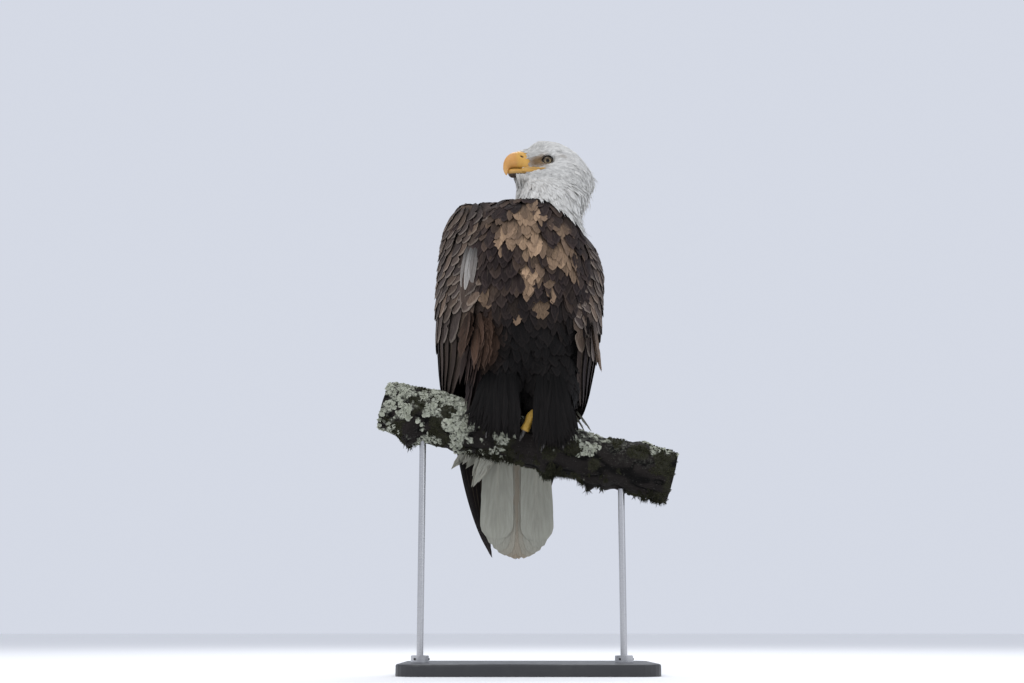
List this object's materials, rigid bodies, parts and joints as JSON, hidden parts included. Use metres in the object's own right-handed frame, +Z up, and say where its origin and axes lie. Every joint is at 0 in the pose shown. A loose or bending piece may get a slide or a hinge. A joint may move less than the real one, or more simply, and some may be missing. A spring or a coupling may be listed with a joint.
{
  "type": "bald eagle model",
  "caption": "Life-size bald eagle, wings folded and head turned over its right shoulder, gripping a sloping length of branch on a plain two-rod display stand.",
  "frame": {"origin": "centre of the display base's underside", "axes": "+Z up, the bird's chest faces -Y, its left side is at +X, and its head looks towards -X"},
  "size_m": [0.5291, 0.3, 0.9573],
  "materials": {
    "white_plumage": "soft white feathers, faintly grey in the shadows",
    "dark_plumage": "matt dark brown feathers with paler worn edges",
    "flight_feathers": "blackish brown flight feathers with a slight sheen",
    "yellow_bill": "smooth orange-yellow horn",
    "yellow_cere": "waxy yellow skin",
    "eye": "wet, pale yellow iris with a black pupil",
    "yellow_scutes": "yellow scaled skin",
    "black_claw": "polished black horn",
    "bark": "rough grey bark with pale lichen and moss",
    "painted_base": "satin black paint",
    "steel": "brushed"
  },
  "bodies": {
    "root": {"bill_lower": "yellow_bill", "bill_upper": "yellow_bill", "cere": "yellow_cere", "claw_left_1": "black_claw", "claw_left_2": "black_claw", "claw_left_3": "black_claw", "claw_left_4": "black_claw", "claw_right_1": "black_claw", "claw_right_2": "black_claw", "claw_right_3": "black_claw", "claw_right_4": "black_claw", "eye_left": "eye", "eye_right": "eye", "gape_left": "yellow_cere", "gape_right": "yellow_cere", "head": "white_plumage", "neck": "white_plumage", "perch_branch": "bark", "primaries_left": "flight_feathers", "primaries_right": "flight_feathers", "stand_base": "painted_base", "stand_collar_a": "steel", "stand_collar_b": "steel", "stand_rod_a": "steel", "stand_rod_b": "steel", "tail": "white_plumage", "tarsus_left": "yellow_scutes", "tarsus_right": "yellow_scutes", "thigh_left": "dark_plumage", "thigh_right": "dark_plumage", "toe_left_1": "yellow_scutes", "toe_left_2": "yellow_scutes", "toe_left_3": "yellow_scutes", "toe_left_4": "yellow_scutes", "toe_right_1": "yellow_scutes", "toe_right_2": "yellow_scutes", "toe_right_3": "yellow_scutes", "toe_right_4": "yellow_scutes", "trunk": "dark_plumage", "wing_left": "dark_plumage", "wing_right": "dark_plumage"}
  },
  "joints": []
}
